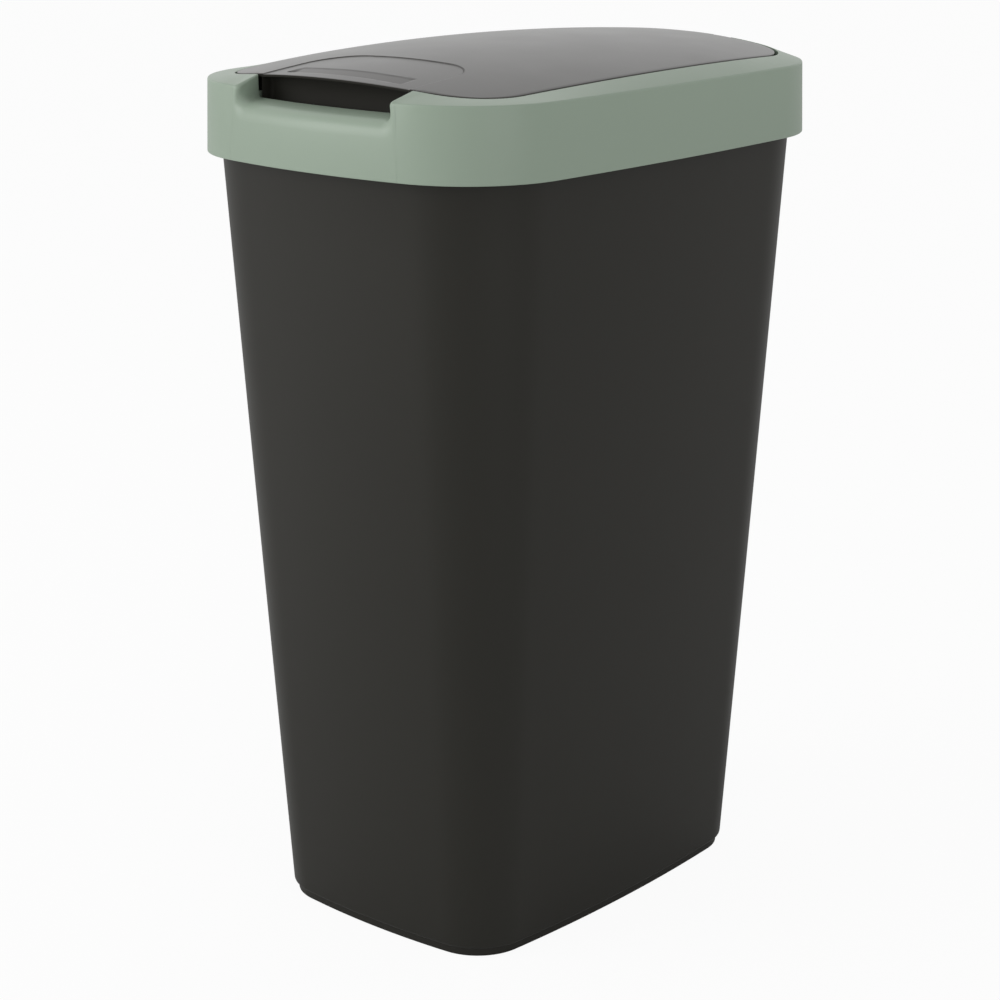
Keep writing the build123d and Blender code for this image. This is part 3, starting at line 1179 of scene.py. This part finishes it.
# %% The floor
floor_white = 0.94
bpy.ops.object.select_all(action="DESELECT")
bpy.ops.mesh.primitive_plane_add(size=60, location=(0, 0, -0.0003))
floor = bpy.context.object
floor.name = "studio_floor"
floor_material = bpy.data.materials.new("studio floor")
floor_material.use_nodes = True
floor_tree = floor_material.node_tree
floor_shader = floor_tree.nodes["Principled BSDF"]
floor_shader.inputs["Base Color"].default_value = (0.86, 0.86, 0.86, 1)
floor_shader.inputs["Roughness"].default_value = 0.9
paper = floor_tree.nodes.new("ShaderNodeEmission")
paper.inputs["Color"].default_value = (1, 1, 1, 1)
paper.inputs["Strength"].default_value = 1.0
floor_path = floor_tree.nodes.new("ShaderNodeLightPath")
to_camera = floor_tree.nodes.new("ShaderNodeMath")
to_camera.operation = "MULTIPLY"
to_camera.inputs[1].default_value = floor_white
floor_mix = floor_tree.nodes.new("ShaderNodeMixShader")
floor_tree.links.new(floor_path.outputs["Is Camera Ray"], to_camera.inputs[0])
floor_tree.links.new(to_camera.outputs[0], floor_mix.inputs["Fac"])
floor_tree.links.new(floor_shader.outputs["BSDF"], floor_mix.inputs[1])
floor_tree.links.new(paper.outputs["Emission"], floor_mix.inputs[2])
floor_tree.links.new(floor_mix.outputs[0], floor_tree.nodes["Material Output"].inputs["Surface"])
floor.data.materials.append(floor_material)
floor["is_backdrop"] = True
print("the floor lies at", floor.location.z, "m")

# %% The world and the lamps
world = bpy.data.worlds.new("studio")
bpy.context.scene.world = world
world.use_nodes = True
tree = world.node_tree
tree.nodes.clear()
light = tree.nodes.new("ShaderNodeBackground")
light.inputs["Color"].default_value = (1, 1, 1, 1)
light.inputs["Strength"].default_value = 0.55
white = tree.nodes.new("ShaderNodeBackground")
white.inputs["Color"].default_value = (1, 1, 1, 1)
white.inputs["Strength"].default_value = 1.0
path = tree.nodes.new("ShaderNodeLightPath")
either = tree.nodes.new("ShaderNodeMath")
either.operation = "MAXIMUM"
mixer = tree.nodes.new("ShaderNodeMixShader")
sky = tree.nodes.new("ShaderNodeOutputWorld")
tree.links.new(path.outputs["Is Camera Ray"], either.inputs[0])
tree.links.new(path.outputs["Is Glossy Ray"], either.inputs[1])
tree.links.new(either.outputs[0], mixer.inputs["Fac"])
tree.links.new(light.outputs[0], mixer.inputs[1])
tree.links.new(white.outputs[0], mixer.inputs[2])
tree.links.new(mixer.outputs[0], sky.inputs["Surface"])


def soft_lamp(name, place, target, size, power):
    """A large square lamp that faces a point."""
    lamp = bpy.data.lights.new(name, "AREA")
    lamp.size = size
    lamp.energy = power
    holder = bpy.data.objects.new(name, lamp)
    holder.location = place
    aim = Vector(target) - Vector(place)
    holder.rotation_euler = aim.to_track_quat("-Z", "Y").to_euler()
    bpy.context.scene.collection.objects.link(holder)


soft_lamp("left_front", (-1.4, -2.2, 1.3), (0, 0, 0.3), 1.6, 30)
soft_lamp("right_side", (2.6, -0.8, 0.7), (0, 0, 0.4), 1.6, 7)
print("lamps:", [(lamp.name, lamp.energy) for lamp in bpy.data.lights])

# %% [markdown]
# ## The camera
# The photograph was taken from the front right, a little above the lid, with a long lens.

# %% Camera
lens = bpy.data.cameras.new("camera")
lens.lens = 91.05
lens.sensor_width = 36
lens.clip_start = 0.05
camera = bpy.data.objects.new("camera", lens)
camera.location = (1.12220, -1.31666, 0.77776)
look_at = Vector((-0.0115, 0, 0.2756))
camera.rotation_euler = (look_at - camera.location).to_track_quat("-Z", "Y").to_euler()
bpy.context.scene.collection.objects.link(camera)
bpy.context.scene.camera = camera
bpy.context.scene.view_settings.view_transform = "Standard"
print("camera at", camera.location, "with a lens of", lens.lens, "mm")

# %% [markdown]
# ## The sizes at the end
# Both boxes, the CAD model's and the dressed bin's, are printed.
# The dressed bin must keep to the CAD model's box, so both boxes are written down.

# %% Sizes and the last line
visual_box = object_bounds()
boxes = {"cad": [list(corner) for corner in cad_box], "visual": [list(corner) for corner in visual_box]}
print("CAD box:", boxes["cad"])
print("visual box:", boxes["visual"])
